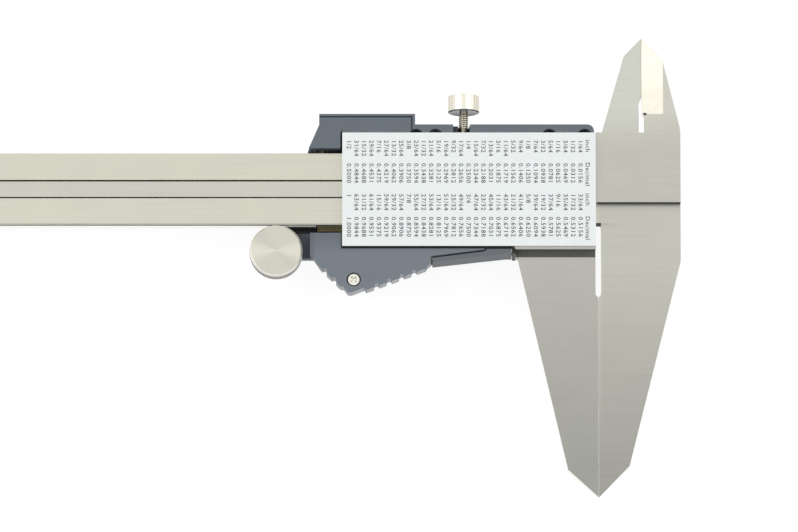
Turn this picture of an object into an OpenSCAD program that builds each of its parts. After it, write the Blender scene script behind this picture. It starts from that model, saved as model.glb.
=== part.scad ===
// Electronic caliper, seen with its back up: beam with fixed jaw, steel slider, plastic display housing.
// Drawn about the point where the closed jaws meet on the beam's centreline, then moved to the row frame:
// +X along the beam towards the fixed jaw, +Y towards the small inside jaws, +Z out of the back.

/* [Beam] */
// Longest distance that the jaws open
travel = 300; // [100:10:500]
// Width of the beam
beam_w = 16; // [15:0.5:18]
// Thickness of the beam and of the jaws
beam_t = 3.8; // [3.4:0.1:4.4]
// Width of the groove that the depth rod runs in
groove_w = 4.1; // [3.6:0.1:5]
// Depth of that groove
groove_d = 2.0; // [1.6:0.1:2.2]
// Width of the recess for the scale strip
scale_w = 12.6; // [10:0.2:13]
// Thickness of the scale's circuit strip
scale_board_t = 0.6; // [0.4:0.1:0.8]
// Thickness of the printed foil over that strip
scale_film_t = 0.2; // [0.1:0.05:0.3]

/* [Outside jaws] */
// How far the outside jaws reach below the beam
jaw_reach = 60.65; // [45:1:80]
// Length of the fixed jaw along the beam
fixed_jaw_len = 18; // [16:0.2:22]
// Width of the sliding jaw at its root
slide_jaw_len = 18.1; // [17:0.05:20]
// Width of each jaw above its slanted tip
jaw_tip_w = 6.7; // [5:0.1:8]
// Height of the fixed jaw's tip, from its point to its knee
fixed_knee_h = 7; // [6:0.05:8]
// The same for the sliding jaw
slide_knee_h = 6.15; // [6:0.05:8]
// Depth of the open slit between the jaws, below the beam
slit_depth = 16.2; // [12:0.2:20]
// How far each jaw stands back from the measuring plane in that slit
slit_half = 0.6; // [0.4:0.1:0.9]
// Height of the thinned measuring edges at the tips
thin_h = 21; // [12:1:28]

/* [Inside jaws] */
// How far the inside jaws reach above the beam
horn_reach = 25.8; // [20:0.1:30]
// Distance from the measuring plane to the inside jaws' common edge
horn_x = 9.52; // [8.6:0.02:9.9]
// Height of the inside jaws' knife edges
horn_edge_h = 13.3; // [9:0.1:14]
// Width of the ground bevel on an inside jaw
horn_bevel_w = 4.75; // [3:0.05:5]

/* [Slider] */
// Length of the slider's steel frame
frame_len = 55.3; // [50:0.1:64]
// Thickness of the frame's back plate
plate_t = 1.6; // [1.2:0.1:2]
// Height of the frame's upper rail above the beam
top_rail_h = 4.3; // [3.8:0.1:5]
// Height of the frame's lower rail below the beam
low_rail_h = 5.5; // [5:0.1:6.5]
// Height of the frame's arm over the fixed jaw
arm_h = 15.6; // [14:0.1:16.5]
// Thickness of the gib strip
gib_t = 0.9; // [0.6:0.1:1.2]
// Running gap between the beam and what slides on it
slide_gap = 0.05; // [0.03:0.01:0.1]
// Height of the printed conversion plate
label_h = 25.4; // [20:0.1:25.4]
// Thickness of that plate
label_t = 0.3; // [0.2:0.1:0.6]
// Thickness of the keeper plate in front of the beam
keeper_t = 0.8; // [0.6:0.1:1]
// Width of the depth rod
rod_w = 3.45; // [3:0.05:3.5]
// Thickness of the depth rod
rod_t = 1.65; // [1.2:0.05:1.65]

/* [Lock screw] */
// Distance of the lock screw from the measuring plane
lock_x = 29.3; // [26:0.1:33]
// Radius of its knurled head
lock_head_r = 3.46; // [3:0.02:3.6]
// Height of that head
lock_head_h = 3.4; // [2.5:0.1:4]
// Height of the head's underside above the beam
lock_head_up = 9.6; // [9.3:0.1:13]
// Radius of the screw's shank
lock_shank_r = 1.1; // [0.9:0.05:1.3]

/* [Thumb wheel] */
// Radius of the thumb wheel
wheel_r = 5.8; // [5:0.1:6.2]
// Width of the thumb wheel
wheel_w = 3.5; // [3:0.1:3.8]
// Distance of its axle behind the slider's frame
wheel_back = 14.4; // [14:0.1:16]
// Radius of its axle
axle_r = 1.0; // [0.8:0.1:1.3]
// Number of teeth in its knurl
wheel_teeth = 56; // [36:2:72]

/* [Housing] */
// Height of the housing's back faces over the beam's middle
case_back_z = 3.2; // [2.8:0.1:3.4]
// Depth of the housing's rear half
rear_depth = 6.8; // [6.6:0.1:7.4]
// Height of the rim round the rear half's back face
rim_h = 3.6; // [3:0.1:5]
// Depth of the front half
front_depth = 7.2; // [7:0.1:9]
// Wall of the front half
wall = 1.4; // [1:0.1:1.6]
// Height of the raised rim round the display
bezel_h = 0.8; // [0.6:0.1:1.2]
// Length of the display's window
window_len = 38; // [30:0.5:40]
// Height of the display's window
window_h = 11; // [8:0.5:11]
// Radius of the push buttons
button_r = 2.6; // [2:0.1:2.8]
// Travel of the push buttons
button_travel = 0.5; // [0.3:0.1:0.6]
// Radius of the button cell
cell_r = 5.8; // [5:0.1:5.8]
// Height of the button cell
cell_h = 5.4; // [4:0.1:5.4]
// Pitch of the grip's notches
notch_pitch = 2.9; // [2.4:0.02:3]
// Radius of the grip's notches
notch_r = 0.64; // [0.4:0.02:0.9]

/* [Hidden] */
$fn = 48;
tiny = 0.01;
half_w = beam_w / 2;
back_z = beam_t / 2;
front_z = -back_z;
tip_y = -half_w - jaw_reach;
horn_tip_y = half_w + horn_reach;
slit_y = -half_w - slit_depth;
jaw_gap = 0.02;
fit = 0.05;
case_gap = 0.1;

// The slider's frame
frame_right = -0.5;
frame_left = frame_right - frame_len;
wheel_x = wheel_back - frame_left;
plate_z = back_z + slide_gap;
plate_top = plate_z + plate_t;
frame_top = half_w + top_rail_h;
frame_low = -half_w - low_rail_h;
rail_front = front_z - 2 * slide_gap;
arm_low = frame_top - arm_h;
keeper_front = rail_front - keeper_t;
gib_top = half_w + slide_gap + gib_t;
top_rail_in = gib_top + slide_gap;
shoe_h = 1;
relief_w = 1.75;
relief_d = 1;

// The thumb wheel rolls on the beam's lower edge
wheel_y = -half_w - wheel_r - slide_gap;
wheel_top_z = 2.4;
wheel_low_z = wheel_top_z - wheel_w;
arm_top_z = wheel_low_z - 0.3;

// The beam ends just past the wheel at full travel, behind its stop
stop_len = 4;
stop_t = 1.2;
stop_up = 1;
end_room = 2;
beam_left = -wheel_x - wheel_r - travel - end_room - stop_len;
stop_screw_y = half_w - 2.6;

// The housing's two halves
case_mid_z = case_back_z - rear_depth;
case_front_z = case_mid_z - front_depth;
rest_z = case_front_z - bezel_h;
face_in_z = case_front_z + wall - 0.2;
case_left = frame_left - 7;
strip_top = frame_top + 1.9;
lock_slot_r = lock_shank_r + 0.1;
block_top = strip_top + 2.35;
block_left = case_left + 1.95;
block_right = frame_left + 15.9;
block_low = half_w + 0.9;
grip_up = -half_w - 2.05;
arm_up = -half_w - 1.25;
arm_low_y = -half_w - 6.8;
grip_tip = [frame_left + 2, frame_low - 9.9];
teeth_left = [[frame_left - 0.3, frame_low - 8.6], [frame_left - 4.6, frame_low - 4.4]];
teeth_right = [[frame_left + 18.15, frame_low - 4.53], [frame_left + 5.3, frame_low - 9.3]];
lip_right = [-slide_jaw_len - 0.8, frame_low - 0.95];
grip_right = [lip_right[0] - 2 * cell_r - 6, frame_low - 3.3];
lip_top = frame_low - case_gap - fit;
lip_bend = [lip_right[0] - 5.9, frame_low - 0.7];
lip_left_top = frame_low - 2.15;
lip_left_low = frame_low - 3.1;
lip_gap = 0.4;
lip_h = rim_h - 0.2;
black_end_x = -slide_jaw_len - 0.05;
black_end_low = frame_low - 1.15;
front_inset = 2.5;
side_gap = 0.4;
rim_inset = 0.9;
board_left = frame_left - 5.5;
board_t = 0.8;
tab_w = 1.6;
board_z = front_z - 0.15;
window_x = frame_left + window_len / 2 + 3.3;
connector_len = window_len - 4;
window_y = 6.2;
sensor_len = 46;
sensor_h = 13.4;
sensor_x = frame_left + sensor_len / 2 + 1.8;
chip_at = [sensor_x, -3.05];
chip_r = 2.05;

// Screws
case_screw_r = 0.85;
case_head_r = 1.6;
case_head_h = 0.9;
case_screw_len = 10;
case_screw_up = frame_top - 1.9;
case_screw_low = frame_low + 3.6;
case_screw_x = [frame_left + 4.6, frame_right - 6.5];
grip_screw = grip_tip + [0.53, 2.96];
grip_head_r = 1.24;
grip_ring_r = 1.57;
grip_shank_r = 0.8;
grip_boss_r = 1.5;
grip_boss_len = 1.9;
grub_r = 1.0;
grub_x = [frame_left + 10.8, frame_right - 12.5];
rivet_r = 0.8;
rivet_x = [frame_right - 9.5, frame_right - 17.5];
rod_right = frame_right - 5.5;
rod_z = back_z - groove_d + 0.2;

// The battery tray
tray_left = grip_right[0] + 0.35;
tray_right = lip_right[0];
tray_mid = (tray_left + tray_right) / 2;
cell_y = frame_low + 0.4 + cell_r;
cell_z = case_mid_z - 0.3 - cell_h;
tray_z0 = cell_z + fit;
tray_z1 = case_mid_z - 0.35;
tray_end_y = cell_y + cell_r + 0.5;
tray_low_y = cell_y - cell_r - 0.2;

boss_r = 2;
boss_len = 3.3;
divider_t = 0.8;
divider_right = tray_left - 0.15;
divider_y = -2.6;

// The buttons stand in a row left of the tray
button_pitch = 7.4;
button_x = [for (i = [0:2]) tray_left - 5.05 - i * button_pitch];
button_y = -8.6;
button_proud = 0.4;
flange_t = 0.6;
button_z = face_in_z + flange_t + fit;

// The whole part's box, for the row frame's origin
box_right = fixed_jaw_len;
row_shift = [-(beam_left + box_right) / 2, -(tip_y + horn_tip_y) / 2, -rest_z];

// ---------- helpers ----------

// Moves a piece from the drawing frame to the row frame
module placed() translate(row_shift) children();

// A flat shape between two heights
module slab(z0, z1) translate([0, 0, z0]) linear_extrude(z1 - z0) children();

// A box from its two corners
module box(a, b) translate(a) cube(b - a);

// An upright cylinder at a place, between two heights
module post(at, r, z0, z1) translate([at[0], at[1], z0]) cylinder(r = r, h = z1 - z0);

// A cylinder that lies along Y
module bar_y(x, r, y0, y1) translate([x, y0, 0]) rotate([-90, 0, 0]) cylinder(r = r, h = y1 - y0);

// A rectangle with round corners, from its two corners
module round_rect(a, b, r) {
    translate([a[0] + r, a[1]]) square([b[0] - a[0] - 2 * r, b[1] - a[1]]);
    translate([a[0], a[1] + r]) square([b[0] - a[0], b[1] - a[1] - 2 * r]);
    for (x = [a[0] + r, b[0] - r]) {
        for (y = [a[1] + r, b[1] - r]) {
            translate([x, y]) circle(r);
        }
    }
}

// A wedge that thins an edge: full depth at x0, none at x1, from y0 to y1
module edge_wedge(x0, x1, z_full, z_none, y0, y1)
    translate([0, y1, 0]) rotate([90, 0, 0]) linear_extrude(y1 - y0)
        polygon([[x0, z_none], [x1, z_none], [x0, z_full]]);

// The outline of a straight knurl
module knurl(r, teeth, depth)
    polygon([for (i = [0 : 2 * teeth - 1])
        (i % 2 == 0 ? r : r - depth) * [cos(180 * i / teeth), sin(180 * i / teeth)]]);

// A screw along Z with a cross in its head; the head ends at z
module cross_screw(at, head_r, head_h, r, z, len) {
    difference() {
        post(at, head_r, z - head_h, z);
        for (turn = [45, 135]) {
            translate([at[0], at[1], z - head_h / 4]) rotate(turn)
                cube([1.3 * head_r, 0.36 * head_r, head_h], center = true);
        }
    }
    post(at, r, z - len, z - head_h);
}

// ---------- beam ----------

// The blade of an outside jaw; side is 1 on the fixed jaw and -1 on the sliding one
module jaw_blade(side, root_w, root_y, top_y) {
    face = side > 0 ? 0 : jaw_gap;
    knee_y = tip_y + (side > 0 ? fixed_knee_h : slide_knee_h);
    difference() {
        slab(front_z, back_z) polygon([
            [side * face, tip_y], [side * jaw_tip_w, knee_y], [side * root_w, root_y],
            [side * root_w, top_y], [side * slit_half, top_y], [side * slit_half, slit_y + slit_half],
            [side * face, slit_y]]);
        // the measuring edges near the tip are thinned from the front
        edge_wedge(0, side * 4.5, 0.6, front_z - tiny, tip_y - 1, tip_y + thin_h);
    }
}

module beam_bar() {
    difference() {
        box([beam_left, -half_w, front_z], [fixed_jaw_len, half_w, back_z]);
        // groove of the depth rod, open at the beam's far end
        box([beam_left - 1, -groove_w / 2, back_z - groove_d], [-2, groove_w / 2, back_z + 1]);
        // recess of the scale strip
        box([beam_left + stop_len, -scale_w / 2, front_z - 1],
            [-1, scale_w / 2, front_z + scale_board_t + scale_film_t + 0.05]);
        // threaded holes of the end stop
        for (y = [-stop_screw_y, stop_screw_y]) {
            post([beam_left + stop_len / 2, y], 0.8, back_z - 2.4, back_z + 1);
        }
        // relief in the corner under the fixed jaw
        box([-slit_half, -half_w - 1, front_z - 1], [slit_half, -half_w + 0.45, back_z + 1]);
    }
}

module fixed_horn() {
    difference() {
        slab(front_z, back_z) polygon([
            [0.2, half_w - 1], [0.88, half_w + 4.78], [horn_x - 3.85, horn_tip_y - 4.05],
            [horn_x, horn_tip_y], [horn_x, horn_tip_y - horn_edge_h],
            [horn_x - 0.57, horn_tip_y - horn_edge_h - 1.4], [horn_x - 0.57, half_w - 1]]);
        // its knife edge is ground on the front
        edge_wedge(horn_x + tiny, horn_x - horn_bevel_w, back_z - 0.4, front_z - tiny,
            horn_tip_y - horn_edge_h, horn_tip_y + 1);
    }
}

module beam() color("#cfcdbe") placed() union() {
    beam_bar();
    jaw_blade(1, fixed_jaw_len, -half_w - 8.1, -half_w + 0.5);
    fixed_horn();
}

module scale_board() color("#2f4a2c") placed()
    box([beam_left + stop_len + 0.1, -scale_w / 2 + fit, front_z + scale_film_t],
        [-1.1, scale_w / 2 - fit, front_z + scale_film_t + scale_board_t]);

module scale_film() color("#c9ccd0") placed()
    box([beam_left + stop_len + 0.1, -scale_w / 2 + fit, front_z + 0.02],
        [-1.1, scale_w / 2 - fit, front_z + scale_film_t]);

module end_stop() color("#b9bab4") placed() difference() {
    slab(back_z, back_z + stop_t) round_rect(
        [beam_left, -half_w - stop_up], [beam_left + stop_len, half_w + stop_up], 0.8);
    for (y = [-stop_screw_y, stop_screw_y]) {
        post([beam_left + stop_len / 2, y], 0.85, back_z - 1, back_z + stop_t + 1);
        post([beam_left + stop_len / 2, y], 1.45, back_z + stop_t - 0.6, back_z + stop_t + 1);
    }
}

module end_stop_screws() color("#8f8f88") placed()
    for (y = [-stop_screw_y, stop_screw_y]) {
        cross_screw([beam_left + stop_len / 2, y], 1.4, 0.6, 0.75, back_z + stop_t, stop_t + 2.2);
    }

// ---------- slider ----------

module sliding_horn() {
    slot_x = horn_x + 0.5;
    edge_low = horn_tip_y - 17.35;
    difference() {
        slab(plate_z, plate_top) polygon([
            [slot_x, frame_top - 1], [slot_x, edge_low - 0.8], [horn_x, edge_low],
            [horn_x, horn_tip_y - 0.3], [horn_x + 3.72, horn_tip_y - 4], [horn_x + 4.75, horn_tip_y - 5.9],
            [fixed_jaw_len - 0.1, frame_top + 1.05], [fixed_jaw_len, frame_top - 1]]);
        // ground bevel down to the knife edge
        edge_wedge(horn_x - tiny, horn_x + horn_bevel_w, plate_z + 0.25, plate_top + tiny,
            edge_low, horn_tip_y + 1);
        post([slot_x + 0.3, edge_low + 0.1], 0.4, plate_z + 0.4, plate_top + 1);
    }
}

module slider_frame() color("#b7b8b1") placed() difference() {
    union() {
        box([frame_left, frame_low, plate_z], [frame_right, frame_top, plate_top]);
        box([frame_left, top_rail_in, rail_front], [frame_right, frame_top, plate_z]);
        box([frame_left, frame_low, rail_front], [frame_right, -half_w - slide_gap, plate_z]);
        box([frame_right - 1, arm_low, plate_z], [fixed_jaw_len, frame_top, plate_top]);
        // lower edge of the plate over the jaw's relief
        box([black_end_x + 0.1, frame_low - 0.3, plate_z], [frame_right, frame_low + tiny, plate_top]);
        sliding_horn();
        jaw_blade(-1, slide_jaw_len, frame_low, frame_low + tiny);
    }
    // grinding relief beside the lower rail
    box([-slide_jaw_len - 1, frame_low - relief_w, back_z - relief_d], [1, frame_low, back_z + 1]);
    // rebate along the plate's lower edge, as far as the housing covers the rail
    box([frame_left - 1, frame_low - 1, plate_top - 0.9], [black_end_x, frame_low + 0.4, plate_top + 1]);
    // bore of the lock screw and of the gib screws
    bar_y(-lock_x, lock_shank_r + fit, half_w, frame_top + 1);
    for (x = grub_x) {
        bar_y(x, grub_r + 0.02, half_w, frame_top + 1);
    }
    for (x = rivet_x) {
        post([x, 0], rivet_r, plate_z - 1, plate_top + 1);
    }
    for (x = case_screw_x) {
        for (y = [case_screw_up, case_screw_low]) {
            post([x, y], case_screw_r + fit, rail_front - 1, plate_top + 1);
            post([x, y], case_head_r + fit, plate_top - case_head_h, plate_top + 1);
        }
    }
}

module conversion_plate() color("#eef3f2") placed()
    slab(plate_top, plate_top + label_t)
        round_rect([frame_left, frame_top - label_h], [frame_right, frame_top - 0.09], 0.2);

module depth_rod() color("#c4c4ba") placed() difference() {
    union() {
        box([beam_left, -rod_w / 2, rod_z], [rod_right, rod_w / 2, rod_z + rod_t]);
        box([rivet_x[1] - 3, -rod_w / 2, rod_z], [rod_right, rod_w / 2, plate_z]);
    }
    for (x = rivet_x) {
        post([x, 0], rivet_r, rod_z - 1, plate_z + 1);
    }
    // the probing end is stepped down on one side
    box([beam_left - 1, rod_w / 2 - 1.2, rod_z - 1], [beam_left + 5, rod_w / 2 + 1, plate_z + 1]);
}

module rod_rivets() color("#a9a9a2") placed()
    for (x = rivet_x) {
        post([x, 0], rivet_r, rod_z, plate_top);
    }

module gib_strip() color("#b99a53") placed()
    box([frame_left + 4, half_w + slide_gap, front_z + 0.2],
        [frame_right - 4, gib_top, back_z - 0.2]);

module gib_screws() color("#55554f") placed()
    for (x = grub_x) {
        difference() {
            bar_y(x, grub_r, gib_top, frame_top - 0.1);
            box([x - 0.2, frame_top - 0.9, -grub_r - 1], [x + 0.2, frame_top + 1, grub_r + 1]);
        }
    }

module keeper_plate() color("#a5a6a0") placed() difference() {
    box([frame_left, frame_low, keeper_front], [frame_right - 0.3, frame_top, rail_front]);
    box([frame_left - 1, -sensor_h / 2 - 0.1, keeper_front - 1],
        [sensor_x + sensor_len / 2 + 0.1, sensor_h / 2 + 0.1, rail_front + 1]);
    for (x = case_screw_x) {
        for (y = [case_screw_up, case_screw_low]) {
            post([x, y], case_screw_r + fit, keeper_front - 1, rail_front + 1);
        }
    }
}

module reader_board() color("#5d5f3c") placed()
    slab(board_z - board_t, board_z) {
        translate([frame_left - 1, -sensor_h / 2])
            square([sensor_x + sensor_len / 2 - frame_left + 1, sensor_h]);
        translate([board_left, -half_w - 0.6]) square([frame_left - board_left - 0.1, beam_w + 0.6]);
        translate([board_left, 0]) square([tab_w, half_w + 1.75]);
    }

module reader_chip() color("#1b1b1d") placed() union() {
    post(chip_at, chip_r, board_z - board_t - 0.3, board_z - board_t);
    post(chip_at, chip_r - 0.5, board_z - board_t - 0.55, board_z - board_t);
}

// ---------- housing ----------

// What shows above the frame: the raised block and the low strip
module upper_outline() {
    corner = 1.5;
    right = frame_right - 0.35;
    polygon([[case_left - 0.3, block_low], [block_left, strip_top - 0.1], [block_left, block_top],
        [block_right, block_top], [block_right, strip_top], [right - corner, strip_top],
        [right - corner, strip_top - corner], [right, strip_top - corner],
        [right, frame_top + case_gap / 2], [frame_left - side_gap, frame_top + case_gap / 2],
        [frame_left - side_gap, block_low]]);
    intersection() {
        translate([right - corner, strip_top - corner]) circle(corner);
        translate([right - 2 * corner, frame_top + case_gap / 2]) square(2 * corner);
    }
}

// What shows below the frame: the thumb grip, whose two edges carry teeth that stand out a little
module grip_outline() {
    difference() {
        polygon([[case_left, grip_up], [case_left, frame_low - 1.2], [case_left + 0.9, frame_low - 2.2],
            teeth_left[1], teeth_left[0], [frame_left + 0.4, frame_low - 8.6], grip_tip + [-0.7, 0.1],
            grip_tip, teeth_right[1] + [-0.4, 0.57], teeth_right[1], teeth_right[0],
            teeth_right[0] + [0.35, 0.6], grip_right, [grip_right[0], lip_left_top + lip_gap],
            lip_bend + [-0.1, lip_gap], [lip_bend[0] + 0.2, frame_low - case_gap / 2],
            [frame_left - case_gap, frame_low - case_gap / 2], [frame_left - case_gap, grip_up]]);
        notches(teeth_right, 2.6, 4);
        notches(teeth_left, 2.05, 2);
    }
}

// A row of round notches along an edge, the first at a distance from the edge's first end
module notches(edge, start, count) {
    along = (edge[1] - edge[0]) / norm(edge[1] - edge[0]);
    for (i = [0 : count - 1]) {
        translate(edge[0] + along * (start + i * notch_pitch)) circle(notch_r);
    }
}

// The plastic arm that carries the wheel's axle
module wheel_arm() {
    slab(case_mid_z, arm_top_z) {
        translate([-wheel_x, wheel_y]) circle(2.6);
        polygon([[-wheel_x, wheel_y + 2.6], [-wheel_x + wheel_r - 1.2, arm_up],
            [case_left + 1, arm_up], [case_left + 1, arm_low_y], [-wheel_x + 4, arm_low_y],
            [-wheel_x, wheel_y - 2.2]]);
    }
}

module housing_rear() color("#6a7480") placed() difference() {
    union() {
        slab(case_mid_z, case_back_z) upper_outline();
        slab(case_back_z - rim_h, case_back_z) grip_outline();
        slab(case_mid_z, case_back_z - rim_h + tiny) intersection() {
            grip_outline();
            translate([0, rim_inset]) grip_outline();
        }
        box([frame_left - side_gap, frame_low - case_gap, case_mid_z],
            [frame_right - side_gap, frame_top + case_gap, keeper_front - fit]);
        wheel_arm();
    }
    // shadow line inside the block's rim
    slab(case_back_z - 0.9, case_back_z + 1) {
        translate([block_left, block_top - 0.78]) square([block_right - block_left - 0.6, 0.26]);
        translate([block_right - 0.86, frame_top]) square([0.26, block_top - frame_top - 0.6]);
    }
    // clearance pockets beside the rail
    for (x = [block_right + 0.2, block_right + 4.4, frame_right - 10.1, frame_right - 2.4]) {
        post([x, frame_top - 0.8], 1.7, case_back_z - 3, case_back_z + 1);
    }
    // notch of the reader board's tab
    box([board_left - 0.15, block_low - 1, case_mid_z - 1], [board_left + tab_w + 0.15, half_w + 1.9, 0.8]);
    // notch of the lock screw
    box([-lock_x - 2.3, frame_top - 1, 1.25], [-lock_x + 1.35, strip_top + 1, case_back_z + 1]);
    bar_y(-lock_x, lock_slot_r, frame_top - 1, strip_top + 1);
    box([-lock_x - lock_slot_r, frame_top - 1, 0], [-lock_x + lock_slot_r, strip_top + 1, case_back_z + 1]);
    // window for the connector and the chip
    box([sensor_x - sensor_len / 2 + 1, -5.2, case_mid_z - 1],
        [sensor_x + sensor_len / 2 - 3, 5.2, keeper_front + 1]);
    for (x = case_screw_x) {
        for (y = [case_screw_up, case_screw_low]) {
            post([x, y], case_screw_r + fit, case_mid_z - 1, keeper_front + 1);
        }
    }
    post(grip_screw, grip_shank_r + fit, case_mid_z - 1, case_back_z);
    post(grip_screw, grip_ring_r, case_back_z - 1.2, case_back_z + 1);
    post([-wheel_x, wheel_y], axle_r, case_mid_z - 1, arm_top_z + 1);
}

// The front half's outline, drawn in from the rear half's so that it stays hidden behind it
module front_outline(inset) {
    upper = block_top - 0.65 - inset;
    strip = frame_top + 1.6 - inset;
    right = frame_right - 1.1 - inset;
    left = case_left + 1.2 + inset;
    back = -wheel_x + 1.7 + inset;
    low = -half_w - 0.9 + inset;
    polygon([[case_left - 0.2 + inset, half_w + 2.6 - inset / 2], [block_left + 0.74 + inset, upper],
        [block_right - 0.6 - inset, upper], [block_right - 0.6 - inset, strip],
        [right, strip], [right, frame_low + 1.9 + inset],
        [lip_right[0], frame_low + 1.5 + inset], grip_right + [0, front_inset + inset],
        grip_tip + [0, front_inset + 0.5 + 1.3 * inset], [left, frame_low - 0.15 + inset],
        [left, low], [back, low], [back, -half_w + 1]]);
}

// The end piece, which stands between the tray's lip and the sliding jaw
module end_outline(up, low) {
    lean = (slide_jaw_len - jaw_tip_w) / (frame_low - tip_y - slide_knee_h);
    polygon([[lip_right[0] + case_gap, up], [black_end_x, up], [black_end_x, frame_low],
        [black_end_x + lean * (frame_low - low), low], [lip_right[0] + case_gap, low]]);
}

module housing_front() color("#1d2026") placed() difference() {
    union() {
        slab(case_front_z, case_mid_z) front_outline(0);
        post(grip_screw, grip_boss_r, case_mid_z - grip_boss_len, case_mid_z);
        // end piece between the tray's lip and the sliding jaw
        slab(case_mid_z - 2, case_mid_z) end_outline(frame_low + 2, black_end_low + 0.3);
        slab(case_mid_z - tiny, case_back_z - 0.4) end_outline(lip_top, black_end_low + 0.3);
        slab(case_back_z - lip_h, case_back_z - 0.4) end_outline(lip_top, black_end_low);
        // raised rim round the display
        slab(rest_z, case_front_z + tiny) round_rect(
            [window_x - window_len / 2 - 3, window_y - window_h / 2 - 2.5],
            [window_x + window_len / 2 + 3, window_y + window_h / 2 + 1.9], 1.2);
    }
    difference() {
        slab(face_in_z, case_mid_z + 1) front_outline(wall);
        // screw bosses, each on a rib from the nearest wall
        for (x = case_screw_x) {
            slab(case_mid_z - boss_len, case_mid_z + 1) {
                translate([x, case_screw_up]) circle(boss_r);
                translate([x - 0.6, case_screw_up]) square([1.2, block_top - case_screw_up]);
                translate([x, case_screw_low]) circle(boss_r);
                translate([x - 0.6, grip_tip[1]]) square([1.2, case_screw_low - grip_tip[1]]);
            }
        }
        // dividers that hold the key mat
        box([divider_right - divider_t, frame_low, face_in_z - tiny],
            [divider_right, divider_y, case_mid_z - 0.1]);
        box([frame_left - 3, divider_y - divider_t, face_in_z - tiny],
            [divider_right, divider_y, case_mid_z - 0.1]);
    }
    for (x = case_screw_x) {
        for (y = [case_screw_up, case_screw_low]) {
            post([x, y], case_screw_r, case_mid_z - 4, case_mid_z + 1);
        }
    }
    post(grip_screw, grip_shank_r, case_mid_z - grip_boss_len, case_mid_z + 1);
    // display opening, with a seat for its window
    box([window_x - window_len / 2, window_y - window_h / 2, rest_z - 1],
        [window_x + window_len / 2, window_y + window_h / 2, case_mid_z]);
    slab(rest_z - 1, case_front_z + 0.4) round_rect(
        [window_x - window_len / 2 - 1.4, window_y - window_h / 2 - 1],
        [window_x + window_len / 2 + 1.4, window_y + window_h / 2 + 1], 0.8);
    for (x = button_x) {
        post([x, button_y], button_r + case_gap, case_front_z - 1, face_in_z + 1);
    }
    // way out of the battery tray
    box([tray_left - 0.15, frame_low - 4, face_in_z - 0.05], [tray_right + case_gap, cell_y, case_mid_z + 1]);
    // room of the reader board's wide end
    box([board_left - 0.2, -half_w - 0.9, case_mid_z - 0.6], [frame_left, half_w + 1.9, case_mid_z + 1]);
}

module display_window() color("#9fb4bd", 0.5) placed()
    slab(case_front_z - bezel_h + 0.3, case_front_z + 0.4) round_rect(
        [window_x - window_len / 2 - 1.3, window_y - window_h / 2 - 0.9],
        [window_x + window_len / 2 + 1.3, window_y + window_h / 2 + 0.9], 0.7);

module display_panel() color("#a9b3a0") placed()
    box([window_x - window_len / 2 - 1.5, window_y - window_h / 2 - 1.5, face_in_z + fit],
        [window_x + window_len / 2 + 1.5, window_y + window_h / 2 + 0.6, face_in_z + fit + 1.1]);

module display_connector() color("#3a3a3e") placed()
    box([window_x - connector_len / 2, -0.6, face_in_z + 1.1 + 2 * fit],
        [window_x + connector_len / 2, 1.2, board_z - board_t - fit]);

module battery_contacts() color("#c8b26a") placed() {
    box([tray_mid - 2, cell_y - 3, cell_z + cell_h + fit], [tray_mid + 2, cell_y + 4, case_mid_z - fit]);
    box([tray_mid - 1.5, cell_y - 2, face_in_z + 0.02],
        [tray_mid + 1.5, cell_y + cell_r - 0.8, cell_z - fit]);
}

module key_mat() color("#c9c6bd") placed()
    box([button_x[2] - 3, button_y - 3, button_z + 0.75 + button_travel],
        [divider_right - divider_t - fit, divider_y - divider_t - fit, button_z + 1.55 + button_travel]);

module case_screws() color("#8f8f88") placed()
    for (x = case_screw_x) {
        for (y = [case_screw_up, case_screw_low]) {
            cross_screw([x, y], case_head_r, case_head_h - 0.1, case_screw_r - 0.02,
                plate_top - fit, case_screw_len);
        }
    }

module grip_screw_piece() color("#ede9da") placed()
    cross_screw(grip_screw, grip_head_r, 0.85, grip_shank_r - 0.02,
        case_back_z - 0.35, rear_depth + grip_boss_len - 0.45);

module wheel_axle() color("#a9a9a2") placed()
    post([-wheel_x, wheel_y], axle_r, case_mid_z, wheel_top_z - 0.6);

module thumb_wheel() color("#dad9cc") placed() translate([-wheel_x, wheel_y, 0]) difference() {
    union() {
        slab(wheel_low_z + 0.25, wheel_top_z - 0.35) knurl(wheel_r, wheel_teeth, 0.22);
        translate([0, 0, wheel_top_z - 0.35])
            cylinder(r1 = wheel_r - 0.1, r2 = wheel_r - 0.45, h = 0.35, $fn = 96);
        translate([0, 0, wheel_low_z])
            cylinder(r1 = wheel_r - 0.35, r2 = wheel_r - 0.1, h = 0.25, $fn = 96);
    }
    translate([0, 0, wheel_low_z - 1]) cylinder(r = axle_r + fit, h = wheel_w + 1 - 0.5);
}

// ---------- lock ----------

module lock_shoe() color("#b99a53") placed()
    bar_y(-lock_x, lock_shank_r - 0.05, gib_top + 0.03, gib_top + shoe_h);

module lock_screw() color("#f4f2e8") placed() union() {
    bar_y(-lock_x, lock_shank_r, gib_top + shoe_h + fit, half_w + lock_head_up + 0.2);
    translate([-lock_x, half_w + lock_head_up, 0]) rotate([-90, 0, 0]) union() {
        cylinder(r1 = lock_head_r - 0.4, r2 = lock_head_r - 0.15, h = 0.3);
        slab(0.3, lock_head_h - 0.3) knurl(lock_head_r, 40, 0.18);
        translate([0, 0, lock_head_h - 0.3])
            cylinder(r1 = lock_head_r - 0.15, r2 = lock_head_r - 0.4, h = 0.3);
    }
}

// ---------- buttons ----------

module push_button(x) {
    post([x, button_y], button_r, case_front_z - button_proud, face_in_z + tiny);
    post([x, button_y], button_r + 0.5, face_in_z + fit, button_z);
    post([x, button_y], button_r, face_in_z, face_in_z + fit + tiny);
    post([x, button_y], 1, button_z - tiny, button_z + 0.7);
}

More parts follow.
